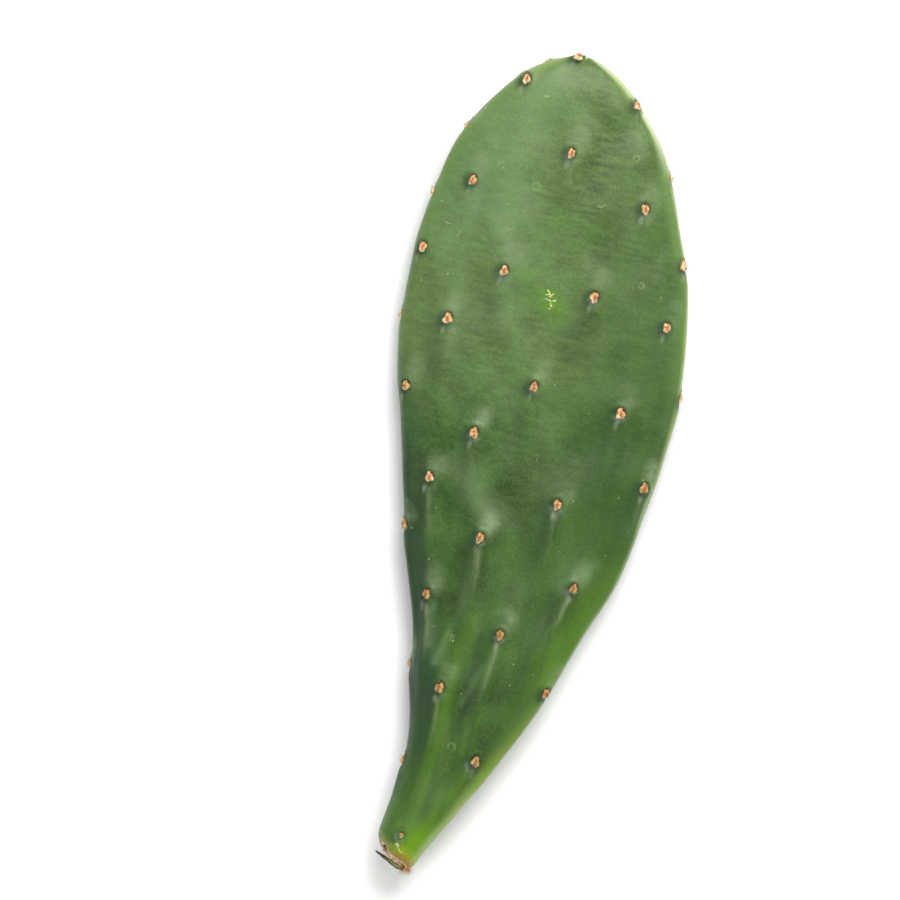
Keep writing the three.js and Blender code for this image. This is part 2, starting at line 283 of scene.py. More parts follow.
# What only the finished skin has: the seat of each areole, its lip, and the unevenness of the flesh.
finish = {
    "seatDepth": 0.4, "seatAcross": 1.32, "seatAlong": 1.85, "seatEdge": (0.7, 1.25),
    "lipHeight": 0.35, "lipWidth": 0.4, "lipPlace": 1.42, "lipRise": 1.5,
    "unevenness": 0.22, "waves": 26, "waveLengths": (12, 44), "seed": 11,
    "rimCalm": (0.25, 0.4), "tipCalm": (236, 252), "settledWidth": 8, "smoothEdge": (1.2, 3.0),
    "stripe": 0.012, "stripes": (23, 2, 5), "stripeEnd": (20, 120),
    "pressedSeat": 0.2, "pressedEdge": (0.8, 1.1),
}


def unevenness(points):
    # a sum of sine waves in seeded directions, each as high as it is long
    rng = np.random.default_rng(finish["seed"])
    total = np.zeros(points.shape[:-1])
    for k in range(finish["waves"]):
        length = np.exp(rng.uniform(*np.log(finish["waveLengths"])))
        way = unit(rng.normal(size=3) * [1, 0.75, 0.6])
        total += length * np.sin(2 * np.pi / length * (points @ way) + rng.uniform(0, 6.3))
    return finish["unevenness"] * total / (finish["waveLengths"][1] * np.sqrt(finish["waves"] / 8))


def skinAt(y, turn):
    # the bare skin, pushed out along its normal by the relief, less the seats of the areoles, plus
    # their lips, the unevenness of the flesh and the fine stripes of the lower half
    look = finish
    points = bareSkin(y, turn)
    out, streak, shade = relief(y, points)
    across, up, size, bloom, near = nearestAreole(points)
    # the oval distance from the areole: 1 on the edge of its felt
    oval = np.hypot(across / look["seatAcross"], up / look["seatAlong"]) / size
    out -= near * look["seatDepth"] * (1 - smoothStep(*look["seatEdge"], oval))
    upper = smoothStep(-look["lipRise"], look["lipRise"], up)
    out += near * look["lipHeight"] * upper * bell(oval - look["lipPlace"], look["lipWidth"])
    settled = np.minimum(1, halfWidth(y) / look["settledWidth"])
    rimCalm, calmEnd = look["rimCalm"]
    calm = between((rimCalm, 1), smoothStep(0, calmEnd, np.abs(np.sin(turn))))
    calm = calm * (1 - 0.8 * smoothStep(*look["tipCalm"], y))
    out += unevenness(points) * calm * settled * (1 - near * (1 - smoothStep(*look["smoothEdge"], oval)))
    many, swing, few = look["stripes"]
    lower = 1 - smoothStep(*look["stripeEnd"], y)
    out += look["stripe"] * lower * np.sin(turn * many + swing * np.sin(turn * few)) * settled
    points = points + facing(y, turn) * out[..., None]
    # the floor flattens the skin, but for the seats, where the flattened felt fills the hollow
    hollow = look["pressedSeat"] * near * (1 - smoothStep(*look["pressedEdge"], oval))
    points[..., 2] = np.maximum(points[..., 2], hollow)
    return points, (streak, shade, bloom), (across, up, size), near


def ringHeights(neck, blade, tip):  # close at the shoulder and at the tip
    scar, tipStart = padShape["scarAt"], padShape["tipStart"]
    start = scar + padShape["shoulderLength"]
    shares = [np.arange(count) / count for count in (neck, blade, tip)]
    return np.concatenate([between((scar, start), 1 - np.cos(shares[0] * np.pi / 2)),
                           between((start, tipStart), shares[1]),
                           between((tipStart, padShape["length"]), np.sin(shares[2] * np.pi / 2))])


def gridFaces(rings, around):   # quads between rings that close on themselves
    a = np.arange(rings - 1)[:, None] * around + np.arange(around)[None]
    b = np.arange(rings - 1)[:, None] * around + (np.arange(around)[None] + 1) % around
    return np.stack([a, b, b + around, a + around], -1).reshape(-1, 4)


def fan(around, heart, first=0, turned=False):   # triangles from one point to the edges of a ring
    a = np.arange(around)
    b = (a + 1) % around
    return np.stack([np.full(around, heart), *(first + k for k in ((b, a) if turned else (a, b)))], 1)


def makePiece(name, points, quads, triangles, material):
    mesh = bpy.data.meshes.new(name)
    mesh.vertices.add(points.size // 3)
    mesh.vertices.foreach_set("co", ((points - frameAt) * mm).ravel())
    mesh.loops.add(quads.size + triangles.size)
    mesh.loops.foreach_set("vertex_index", np.concatenate([quads.ravel(), triangles.ravel()]))
    mesh.polygons.add(len(quads) + len(triangles))
    starts = np.concatenate([np.arange(len(quads)) * 4, quads.size + np.arange(len(triangles)) * 3])
    mesh.polygons.foreach_set("loop_start", starts)
    mesh.update(calc_edges=True)
    mesh.validate()
    mesh.polygons.foreach_set("use_smooth", np.full(len(mesh.polygons), True))
    piece = bpy.data.objects.new(name, mesh)
    bpy.context.scene.collection.objects.link(piece)
    mesh.materials.append(material)
    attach(piece, "root")
    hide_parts("cactus_pad")
    return piece


def keepValues(piece, name, *values):   # one number, or three, kept on each point
    kind, field = ("FLOAT", "value") if len(values) == 1 else ("FLOAT_VECTOR", "vector")
    layer = piece.data.attributes.new(name, kind, "POINT")
    layer.data.foreach_set(field, np.stack(values, -1).astype(np.float32).ravel())


# ---- nodes ----
def colour(r, g, b):   # screen colour 0 to 255 to the shader's own
    c = np.array([r, g, b]) / 255
    c = np.where(c <= 0.04045, c / 12.92, ((c + 0.055) / 1.055) ** 2.4)
    return (*c.tolist(), 1.0)


def colours(**values):   # shader colours by their names
    return {name: colour(*value) for name, value in values.items()}


def addNode(tree, kind, links=None, **settings):
    node = tree.nodes.new(kind)
    for key, value in settings.items():
        setattr(node, key, value)
    for socket, value in (links or {}).items():
        if isinstance(value, bpy.types.NodeSocket):
            tree.links.new(value, node.inputs[socket])
        else:
            node.inputs[socket].default_value = value
    return node


def mathNode(tree, operation, a, b=0.5, c=0.5, clamp=False):
    values = {0: a, 1: b, 2: c}
    return addNode(tree, "ShaderNodeMath", values, operation=operation, use_clamp=clamp).outputs[0]


def vectorNode(tree, operation, a, b, c=(0, 0, 0)):
    node = addNode(tree, "ShaderNodeVectorMath", {0: a, 1: b, 2: c}, operation=operation)
    return node.outputs[1 if operation in ("DISTANCE", "DOT_PRODUCT") else 0]


def scaled(tree, value, factor, offset):   # factor x value + offset
    return mathNode(tree, "MULTIPLY_ADD", value, factor, offset)


def split(tree, vector):   # the three numbers of a vector, or of an attribute by its name
    if isinstance(vector, str):
        vector = attribute(tree, vector, "Vector")
    return addNode(tree, "ShaderNodeSeparateXYZ", {0: vector}).outputs


def times(tree, *values):
    total = values[0]
    for value in values[1:]:
        total = mathNode(tree, "MULTIPLY", total, value)
    return total


def fade(tree, value, low, high):   # 0 at low, 1 at high, either way round
    return addNode(tree, "ShaderNodeMapRange", {"Value": value, "From Min": low, "From Max": high},
                   interpolation_type="SMOOTHSTEP").outputs["Result"]


def mixColour(tree, mask, a, b, blend="MIX"):
    node = addNode(tree, "ShaderNodeMix", {0: mask, 6: a, 7: b}, data_type="RGBA", blend_type=blend)
    return node.outputs[2]


def objectPlace(tree):
    return addNode(tree, "ShaderNodeTexCoord").outputs["Object"]


def fineGrain(tree, scale, detail):
    values = {"Vector": objectPlace(tree), "Scale": scale, "Detail": detail}
    return addNode(tree, "ShaderNodeTexNoise", values).outputs["Fac"]


def attribute(tree, name, output="Fac"):
    return addNode(tree, "ShaderNodeAttribute", attribute_name=name).outputs[output]


def newMaterial(name, values):   # constant values go straight on the shader
    material = bpy.data.materials.new(name)
    material.use_nodes = True
    shader = material.node_tree.nodes["Principled BSDF"]
    for socket, value in values.items():
        shader.inputs[socket].default_value = value
    return material, material.node_tree, shader


def setColour(tree, shader, base):
    tree.links.new(base, shader.inputs["Base Color"])


def setBump(tree, shader, height, strength, distance):
    bump = addNode(tree, "ShaderNodeBump", {"Height": height, "Strength": strength, "Distance": distance})
    tree.links.new(bump.outputs[0], shader.inputs["Normal"])


def newGroup(name, inputs):   # a node group with these inputs and one output, Mask
    tree = bpy.data.node_groups.new(name, "ShaderNodeTree")
    for socket, kind in inputs.items():
        tree.interface.new_socket(socket, in_out="INPUT", socket_type=kind)
    tree.interface.new_socket("Mask", in_out="OUTPUT", socket_type="NodeSocketFloat")
    start, end = tree.nodes.new("NodeGroupInput"), tree.nodes.new("NodeGroupOutput")
    return tree, start.outputs, end.inputs["Mask"]


def makeMottle():
    # uneven growth: noise, stretched along the pad by Stretch, spread between Low and High
    names = ("Scale", "Stretch", "Low", "High", "Detail")
    tree, inputs, mask = newGroup("mottle", dict.fromkeys(names, "NodeSocketFloat"))
    shrink = mathNode(tree, "DIVIDE", 1.0, inputs["Stretch"])
    squeeze = addNode(tree, "ShaderNodeCombineXYZ", {"X": 1.0, "Y": shrink, "Z": 1.0}).outputs[0]
    stretched = vectorNode(tree, "MULTIPLY", objectPlace(tree), squeeze)
    noise = addNode(tree, "ShaderNodeTexNoise", {"Vector": stretched, "Scale": inputs["Scale"],
                                                 "Detail": inputs["Detail"], "Roughness": 0.55})
    spread = addNode(tree, "ShaderNodeMapRange", {"Value": noise.outputs["Fac"], "From Min": inputs["Low"],
                                                  "From Max": inputs["High"]})
    tree.links.new(spread.outputs["Result"], mask)
    return tree


mottleGroup = makeMottle()


def mottle(tree, scale, stretch=1.0, low=0.35, high=0.65, detail=4.0):
    values = {"Scale": scale, "Stretch": stretch, "Low": low, "High": high, "Detail": detail}
    return addNode(tree, "ShaderNodeGroup", values, node_tree=mottleGroup).outputs["Mask"]


def layOver(tree, look, base, sources, layers):
    # Each layer is a colour's name, its share, and the masks whose product it follows. A mask is a
    # source by its name, ("mottle", scale, stretch, low, high, detail), or the fade of a source
    # between two values. The colours are laid over the base one by one.
    for name, share, *masks in layers:
        for mask in masks:
            if mask not in sources:
                kind, *values = mask
                sources[mask] = (mottle(tree, *values) if kind == "mottle"
                                 else fade(tree, sources[kind], *values))
        mask = times(tree, *(sources[mask] for mask in masks))
        base = mixColour(tree, mathNode(tree, "MULTIPLY", mask, share, clamp=True), base, look[name])
    return base


skinLook = {
    **colours(callus=(158, 108, 44), yellow=(158, 164, 44), base=(78, 116, 12), fresh=(120, 158, 14),
              neck=(44, 80, 9), lower=(30, 59, 10), middle=(41, 71, 16), upper=(60, 87, 29),
              dark=(25, 50, 14), light=(93, 121, 62), lime=(98, 136, 34), sun=(158, 176, 92),
              blue=(30, 60, 40), margin=(100, 132, 60), rim=(148, 168, 96), pale=(196, 204, 166),
              teal=(31, 58, 34), streak=(122, 138, 98), scurf=(122, 136, 108), lip=(58, 52, 20),
              shade=(16, 28, 12), bloom=(124, 146, 106), veil=(112, 138, 92), deep=(52, 80, 34),
              mark=(136, 160, 104), crack=(218, 220, 146), crease=(86, 132, 30),
              speck=(196, 204, 150)),
    "sheen": (0.9, 1.0, 0.8, 1.0), "depth": (0.7, 0.81, 0.6, 1.0),
    "specular": 0.32, "roughness": 0.42, "dullness": 0.1, "bump": (0.3, 0.00014),
    "poreScale": 2600.0, "poreShare": 0.4, "grain": (1500.0, 3.0), "coreDepth": 2.0,
    "shakeScale": 700.0, "shakes": (0.003, 0.0012), "cellScale": 150.0,
    # from the yellow-green neck up through deep green to a greyer tip
    "ramp": [(0.0, "base"), (0.03, "base"), (0.06, "neck"), (0.25, "lower"), (0.52, "middle"),
             (0.88, "upper")],
}

# Lines on the upper face: x and y where each starts, x and y where it ends, and half width. The bands
# and flushes are fresher green, and the sheen lines long and soft, painted sheen. Noise shakes the finer
# lines: the creases round one old split, the core of short twigs in it, specks, scratches and a torn edge.
skinLines = {
    "bands": [(5.5, 78, 3.0, 52, 4.6), (3.0, 52, 1.5, 30, 4.6), (1.5, 30, 0.5, 12, 4.0)],
    "flushes": [(-3, 187, 10, 176, 6.5)],
    "waxLines": [(-14, 201, -2, 187, 5.5), (-9.6, 94, -9.4, 87, 4.2), (-8.2, 80, -7.6, 68, 2.8),
                 (1.8, 99, 0.6, 80, 2.6), (0.6, 80, -3.4, 63.0, 2.3), (30, 94, 38, 102, 4.4),
                 (12.0, 66.5, 7.0, 52.0, 2.0), (-9, 122, 1, 114, 8.5)],
}
shakenLines = {
    "creases": [(4.4, 184.8, 5.6, 182.4, 0.8), (6.0, 176.0, 6.3, 179.6, 0.6),
                (8.2, 173.4, 7.2, 178.6, 0.8), (10.2, 177.8, 7.6, 179.2, 0.8),
                (2.6, 182.2, 5.2, 181.0, 0.6), (6.3, 181.5, 6.8, 178.5, 3.6)],
    "clusters": [(-0.6, 72.4, 0.2, 71.0, 1.7), (5.4, 109.1, 6.3, 108.9, 0.7)],
    "scratches": [(-24.9, 195.4, -25.5, 192.6, 0.22), (-29.9, 196.5, -28.7, 196.5, 0.3),
                  (-10.0, 240.7, -6.7, 241.3, 0.2), (14.9, 211.6, 17.0, 211.9, 0.25)],
    "torn": [(-3.0, 5.6, -1.0, 3.4, 0.4)],
}
coreLines = [(5.4, 182.7, 6.7, 181.3, 0.38), (6.7, 181.3, 5.9, 180.2, 0.36),
             (5.9, 180.2, 7.2, 179.6, 0.5), (7.2, 179.6, 6.9, 178.9, 0.5),
             (6.9, 178.9, 8.0, 178.0, 0.34), (6.7, 181.3, 7.5, 182.0, 0.3),
             (7.2, 179.6, 8.5, 180.0, 0.34), (5.9, 180.2, 4.9, 179.8, 0.3),
             (7.4, 178.4, 7.0, 177.2, 0.3), (6.2, 181.6, 5.0, 181.2, 0.26)]
# Healed pale rings: where they are, and their radius.
ringMarks = [(-5.1, 213.3, 1.15), (23.3, 228.5, 0.9), (-17.1, 217.3, 0.9), (-10.3, 199.7, 1.2),
             (33.4, 190.4, 0.8), (7.1, 38.5, 1.05)]
# Oval patches beside each areole: how far aside and above, half width and half height.
patches = {"halo": (-0.8, -0.9, 3.8, 4.3), "waxPatch": (1.6, 5.2, 4.6, 7.4),
           "greyPatch": (-0.7, -3.6, 1.1, 2.4), "pit": (-0.6, -1.9, 1.5, 1.2)}

upperHalf, lowerHalf, skyward = ("up", 0.3, 0.8), ("up", 0.5, 0.12), ("tilted", -0.1, 0.3)
growthLayers = [
    # broad and fine mottling, that runs across the upper half; the broad lighter patches are partly painted
    # sheen
    ("dark", 0.75, ("mottle", 17, 1.4, 0.38, 0.62, 1), ("up", 1.05, 0.75)),
    ("light", 0.68, ("mottle", 34, 1.5, 0.42, 0.64, 1)),
    ("dark", 0.75, ("mottle", 58, 1.8, 0.44, 0.66, 1.5), ("up", 1, 0.66)),
    ("light", 0.45, ("mottle", 95, 1.3, 0.46, 0.66, 1.5)),
    ("light", 0.34, ("mottle", 45, 0.5, 0.46, 0.66, 2), upperHalf),
    ("dark", 0.22, ("mottle", 105, 0.36, 0.46, 0.64, 3), upperHalf),
    ("light", 0.5, ("mottle", 125, 0.34, 0.46, 0.64, 3), upperHalf),
    ("light", 0.45, ("mottle", 190, 0.24, 0.44, 0.68, 3), upperHalf),
    ("dark", 0.22, ("mottle", 230, 0.24, 0.46, 0.7, 3), upperHalf),
    ("light", 0.2, ("mottle", 420, 1, 0.48, 0.72, 2)),
    ("light", 0.25, ("mottle", 1300, 1, 0.46, 0.62)),
    ("dark", 0.25, ("mottle", 1100, 1, 0.46, 0.62)),
    # streaks that run up the lower half
    ("lime", 0.3, ("mottle", 150, 16, 0.42, 0.62), lowerHalf),
    ("dark", 0.3, ("mottle", 190, 12, 0.5, 0.68), lowerHalf),
    # a grey veil towards the upper left, painted sheen, and a deeper green at the right
    ("veil", 0.52, ("across", 0.35, -0.65), ("up", 0.42, 0.78), ("mottle", 46, 1.4, 0.3, 0.62)),
    ("deep", 0.45, ("across", 0, 0.6), ("up", 0.3, 0.5), ("up", 0.95, 0.7)),
    # both margins pale towards the tip, and the rim palest, as far as the flank turns under: painted
    # reflection on the rims; the pale band at the top right and the thin pale line on the right of the neck
    # are painted highlights
    ("margin", 0.5, ("edge", 0.84, 1), ("up", 0.5, 0.85)),
    ("margin", 0.35, ("across", 0.88, 1), ("up", 0.45, 0.7)),
    ("rim", 0.65, ("across", 0.965, 1), ("mottle", 60, 3, 0.3, 0.6), skyward),
    ("pale", 0.8, ("tilted", 0.94, 0.7), ("rightward", 0, 0.3), ("up", 0.86, 0.94), skyward),
    ("rim", 0.6, ("edge", 0.62, 0.98), ("up", 0.93, 0.995)),
    ("pale", 0.28, ("tilted", 0.6, 0.35), ("tilted", 0, 0.25), ("rightward", 0, 0.4), ("up", 0.04, 0.12)),
    # yellow green at the neck; up the right margin a lighter yellow green, brightest low down, painted light
    # where the flank faces the lamp
    ("lime", 0.55, ("across", -0.3, 0.8), ("up", 0.2, 0.02)),
    ("fresh", 0.8, ("across", -0.4, 0.5), ("up", 0.07, 0.025)),
    ("lime", 0.5, ("across", 0.5, 0.95), ("up", 0.5, 0.3), ("up", 0.04, 0.14)),
    ("sun", 0.9, ("across", 0.62, 0.98), ("up", 0.3, 0.06)),
    # the left margin of the lower half is deep blue-green, painted shade and partly a painted blue
    # reflection, up to the ridge that bounds it
    ("blue", 0.8, ("beyond", -0.08, 0.16), ("up", 0.62, 0.42), ("up", 0.02, 0.2)),
    ("lime", 0.45, "bands", "upper", ("mottle", 120, 8, 0.3, 0.6)),
    ("crease", 0.5, "flushes", "upper", ("mottle", 110, 0.5, 0.3, 0.56)),
    # painted sheen along long soft lines
    ("bloom", 0.42, "waxLines", "upper", ("mottle", 150, 2, 0.3, 0.7)),
]
markLayers = [
    # round each areole: a deep green halo of painted shade, with painted shade on the left flank of its
    # ridge, a painted sheen above it, a grey patch that runs on as a line down the lower pad, partly painted
    # highlight on the ridge's crest, a shaded pit under it and a dark olive-brown arc over it, painted shadow
    # under its lip
    ("teal", 0.6, "shade", ("up", 0.04, 0.22)),
    ("teal", 0.8, ("halo", 1, 0.25), "near", ("up", -0.05, 0.12)),
    ("bloom", 1, ("waxPatch", 1, 0), "near", "bloom", ("up", 0.14, 0.3), "duller",
     ("mottle", 90, 1, 0.26, 0.54, 1.5), ("mottle", 260, 0.5, 0.1, 0.6)),
    ("scurf", 0.6, ("greyPatch", 1, 0.1), "near", ("mottle", 620, 1.6, 0.34, 0.56)),
    ("streak", 0.55, "streak", ("up", 0.56, 0.36), ("up", 0.1, 0.24), ("mottle", 400, 5, 0.33, 0.55),
     "clear"),
    ("shade", 0.4, ("pit", 1.15, 0.3), "near"),
    ("lip", 0.8, ("oval", 1.42, 1.15), ("crest", 0, 1.4), "near"),
    # healed rings, scratches, specks and the split, on the upper face alone
    ("mark", 0.35, "rings", "upper", ("mottle", 900, 1, 0.35, 0.6)),
    ("crease", 0.85, "creases", "upper", ("mottle", 500, 2, 0.36, 0.6)),
    ("speck", 0.7, "clusters", "upper", ("mottle", 2200, 1, 0.54, 0.6)),
    ("mark", 0.7, "scratches", "upper"),
    ("crack", 0.95, "core", "upper"),
    ("speck", 0.6, ("cell", 0.05, 0.015), ("chosen", 0.6, 1), "upper", ("mottle", 50, 1, 0.5, 0.6)),
    # the callus of the cut: yellow, then orange brown over the last millimetres
    ("yellow", 0.5, ("fromCut", 4, 0.2)),
    ("callus", 0.6, ("fromCut", 0.9, -0.4)),
    ("crack", 0.8, "torn", "upper"),
]


def makeStroke():
    # how far a place is from a straight stroke: 1 on its line, 0 at Half Width from it
    kinds = {"Place": "NodeSocketVector", "From": "NodeSocketVector", "To": "NodeSocketVector",
             "Half Width": "NodeSocketFloat"}
    tree, inputs, mask = newGroup("stroke", kinds)
    way = vectorNode(tree, "SUBTRACT", inputs["To"], inputs["From"])
    offset = vectorNode(tree, "SUBTRACT", inputs["Place"], inputs["From"])
    share = mathNode(tree, "DIVIDE", vectorNode(tree, "DOT_PRODUCT", offset, way),
                     vectorNode(tree, "DOT_PRODUCT", way, way), clamp=True)
    onLine = addNode(tree, "ShaderNodeVectorMath", {0: way, "Scale": share}, operation="SCALE").outputs[0]
    away = vectorNode(tree, "DISTANCE", offset, onLine)
    tree.links.new(fade(tree, away, inputs["Half Width"], 0.0), mask)
    return tree


strokeGroup = makeStroke()


def onPad(spot):   # a place of the pad in the part's own frame, in metres
    return (*((np.array(spot) - frameAt[:2]) * mm).tolist(), 0)


def strokes(tree, place, lines):
    # the strongest of several strokes
    most = 0.0
    for *ends, half in lines:
        values = {"Place": place, "From": onPad(ends[:2]), "To": onPad(ends[2:]), "Half Width": half * mm}
        stroke = addNode(tree, "ShaderNodeGroup", values, node_tree=strokeGroup)
        most = mathNode(tree, "MAXIMUM", stroke.outputs["Mask"], most)
    return most


def ringMark(tree, place, x, y, radius):
    # a thin ring where the distance from its centre is the radius
    away = vectorNode(tree, "DISTANCE", place, onPad((x, y)))
    off = mathNode(tree, "ABSOLUTE", mathNode(tree, "SUBTRACT", away, radius * mm))
    return fade(tree, off, 0.5 * mm, 0.1 * mm)


def ovalSquare(tree, aside, above, x, y, wide, high):
    squares = []
    for value, middle, half in ((aside, x, wide), (above, y, high)):
        share = mathNode(tree, "DIVIDE", mathNode(tree, "SUBTRACT", value, middle), half)
        squares.append(mathNode(tree, "POWER", share, 2.0))
    return mathNode(tree, "ADD", *squares)


def patchAt(tree, aside, above, x, y, wide, high):
    # the oval distance from a spot beside the areole: 1 on the edge of the patch
    return mathNode(tree, "SQRT", ovalSquare(tree, aside, above, x, y, wide, high))


def cactusSkin():
    look = skinLook
    material, tree, shader = newMaterial("cactusSkin", {"Specular Tint": look["sheen"],
                                                        "Specular IOR Level": look["specular"]})
    place = objectPlace(tree)
    flat = vectorNode(tree, "MULTIPLY", place, (1, 1, 0))
    across, up, face = split(tree, "padPlace")
    aside, above, size = split(tree, "areoleOffset")
    streak, shade, bloom = split(tree, "ridge")
    rightward, _, tilted = split(tree, addNode(tree, "ShaderNodeNewGeometry").outputs["Normal"])
    near = attribute(tree, "areoleNear")

    # the ridge that bounds the painted shade of the left margin runs further out higher up the pad
    bound = scaled(tree, fade(tree, up, 0.2, 0.46), -0.26, -0.56)
    felt = patchAt(tree, aside, above, 0.0, 0.0, feltShape["across"], feltShape["along"])
    close = times(tree, near, fade(tree, above, -4.0, -2.0))   # the grey streak starts below this
    rings = 0.0
    for ring in ringMarks:
        rings = mathNode(tree, "ADD", ringMark(tree, flat, *ring), rings)
    noise = addNode(tree, "ShaderNodeTexNoise", {"Vector": flat, "Scale": look["shakeScale"], "Detail": 2.0})
    shake = vectorNode(tree, "SUBTRACT", noise.outputs["Color"], (0.5, 0.5, 0.5))
    shaken, jagged = (vectorNode(tree, "MULTIPLY_ADD", shake, (amount, amount, 0), flat)
                      for amount in look["shakes"])
    core = times(tree, strokes(tree, jagged, coreLines), mottle(tree, 1300, 1.0, 0.4, 0.5))
    cells = addNode(tree, "ShaderNodeTexVoronoi", {"Vector": flat, "Scale": look["cellScale"]},
                    voronoi_dimensions="2D")
    # the callus reaches furthest at the right
    rough = scaled(tree, mottle(tree, 420, 1.0, 0.3, 0.7), 1.4, -0.7)
    reach = scaled(tree, fade(tree, across, -0.6, 0.5), -2.2, 1.0)
    fromCut = mathNode(tree, "ADD", mathNode(tree, "ADD", attribute(tree, "cutPlace"), rough), reach)
    sources = {
        "across": across, "up": up, "edge": mathNode(tree, "ABSOLUTE", across), "rightward": rightward,
        "tilted": tilted, "upper": fade(tree, face, 0.1, 0.4),
        "beyond": mathNode(tree, "SUBTRACT", bound, across),
        "near": near, "shade": shade, "bloom": bloom, "streak": streak,
        "oval": mathNode(tree, "DIVIDE", felt, size),
        "crest": scaled(tree, aside, 0.4, above),
        "duller": scaled(tree, fade(tree, up, 0.5, 0.75), -0.35, 1.0),
        "clear": mathNode(tree, "SUBTRACT", 1.0, close),
        "rings": rings, "core": core, "cell": cells.outputs["Distance"],
        "chosen": split(tree, cells.outputs["Color"])[0], "fromCut": fromCut,
        **{name: patchAt(tree, aside, above, *patch) for name, patch in patches.items()},
        **{name: strokes(tree, flat, lines) for name, lines in skinLines.items()},
        **{name: strokes(tree, shaken, lines) for name, lines in shakenLines.items()},
    }

    ramp = addNode(tree, "ShaderNodeValToRGB", {"Fac": up})
    while len(ramp.color_ramp.elements) < len(look["ramp"]):
        ramp.color_ramp.elements.new(0.5)
    for element, (position, name) in zip(ramp.color_ramp.elements, look["ramp"]):
        element.position, element.color = position, look[name]
    base = layOver(tree, look, ramp.outputs["Color"], sources, growthLayers)
    # the lower half is darker: times the depth colour
    base = mixColour(tree, fade(tree, up, 0.66, 0.4), base, look["depth"], "MULTIPLY")
    base = layOver(tree, look, base, sources, markLayers)
    setColour(tree, shader, base)

    # a waxy skin, uneven in gloss, with fine pores; the core of the split is sunk
    least = look["roughness"] - look["dullness"] / 2
    gloss = scaled(tree, mottle(tree, 60), look["dullness"], least)
    tree.links.new(gloss, shader.inputs["Roughness"])
    pores = addNode(tree, "ShaderNodeTexVoronoi", {"Vector": place, "Scale": look["poreScale"]})
    smooth = fade(tree, pores.outputs["Distance"], 0.0, 0.35)
    height = scaled(tree, smooth, look["poreShare"], fineGrain(tree, *look["grain"]))
    setBump(tree, shader, scaled(tree, core, -look["coreDepth"], height), *look["bump"])
    return material


def padSkin(material):
    shape = padShape
    around = shape["ringPoints"]
    y = ringHeights(*shape["rings"])[:, None]
    turn = turns(around)[None]
    y, turn = (values.copy() for values in np.broadcast_arrays(y, turn))
    points, (streak, shade, bloom), (aside, above, size), near = skinAt(y, turn)
    # the cut is closed by rings that shrink into the flesh, below the deepest pit of the crust
    count = shape["cutRings"]
    shares = np.linspace(*shape["cutShares"], count)
    cut = bareSkin(np.full((count, 1), shape["scarAt"]), turn[:1], shares[:, None])
    sunk = 1 - smoothStep(shape["cutBend"], shape["cutShares"][0], shares)
    cut[..., 1] += shape["cutDepth"] * sunk[:, None]
    rings = np.concatenate([cut[::-1], points])
    tip = rings[-1].mean(0) + [0, 0.02, 0]
    allPoints = np.concatenate([rings.reshape(-1, 3), [rings[0].mean(0), tip]])
    total = len(allPoints) - 2
    fans = np.concatenate([fan(around, total, turned=True), fan(around, total + 1, total - around)])
    piece = makePiece("pad_skin", allPoints, gridFaces(len(rings), around)[:, ::-1], fans[:, ::-1], material)

    def spread(values, filler=0.0):     # fill in the cut's rings and the two ends
        whole = np.full(total + 2, float(filler))
        whole[count * around:total] = values.ravel()
        whole[total + 1] = values[-1].mean()
        return whole
    bare = bareSkin(y, turn)
    acrossShare = (bare[..., 0] - atStation(shape["midLine"], y)) / halfWidth(y)
    lift = (bare[..., 2] - middleHeight(y)) / np.maximum(halfThickness(y), 0.1)
    upShare = points[..., 1] / shape["length"]
    far = 50
    keepValues(piece, "padPlace", spread(acrossShare), spread(upShare), spread(lift))
    keepValues(piece, "areoleOffset", spread(aside, far), spread(above, far), spread(size, 1))
    keepValues(piece, "areoleNear", spread(near))
    keepValues(piece, "cutPlace", spread(y - shape["scarAt"]))
    # the ridge's grey line, partly painted highlight, its painted shade, and the strength of the painted
    # sheen
    keepValues(piece, "ridge", np.clip(spread(streak), 0, 1.5), np.clip(spread(shade), 0, 1.2), spread(bloom))


# ---- areoles ----
feltShape = {
    "across": 1.3, "along": 1.75, "height": 1.3, "sunk": 0.3, "pear": 0.12,
    "rings": 14, "around": 32, "lobes": 5, "lobeAt": 0.56, "lobeRadius": 0.4, "lobeShare": 0.45,
    "lobeStray": (0.16, 0.5), "uneven": 0.17, "ripple": 0.07, "slimness": (0.9, 1.06), "leaning": 0.1,
    "lowest": 0.01, "agedPlace": (60, 200), "agedShare": 0.55, "seed": 5,
}


def seats():   # where each areole stands on the finished skin
    base = bareSkin(areoles["y"], areoles["turn"])
    out, _, _ = relief(areoles["y"], base)
    return base + areoles["out"] * (out - feltShape["sunk"])[:, None]


def fromSeats(*offsets):   # aside, up and out from each seat, times the areole's size
    ones = (1,) * (offsets[0].ndim - 1)
    size = areoles["size"].reshape(-1, *ones)
    axes = [areoles[key].reshape(-1, *ones, 3) for key in ("side", "up", "out")]
    return seats().reshape(-1, *ones, 3) + sum((size * offset)[..., None] * axis
                                               for offset, axis in zip(offsets, axes))


def feltHeight(r, a, lobes):
    # a dome sqrt(1 - r^2) that a few soft lobes lift and the gaps between them let down
    shape = feltShape
    lift = np.zeros(np.broadcast(r, a, lobes[0][0]).shape)
    for radius, turn in lobes:
        lift = np.maximum(lift, bell(polarDistance(r, a, radius, turn), shape["lobeRadius"]))
    dome = np.sqrt(np.maximum(1 - r * r, 0))
    return shape["height"] * dome * (1 - shape["lobeShare"] + shape["lobeShare"] * lift), lift


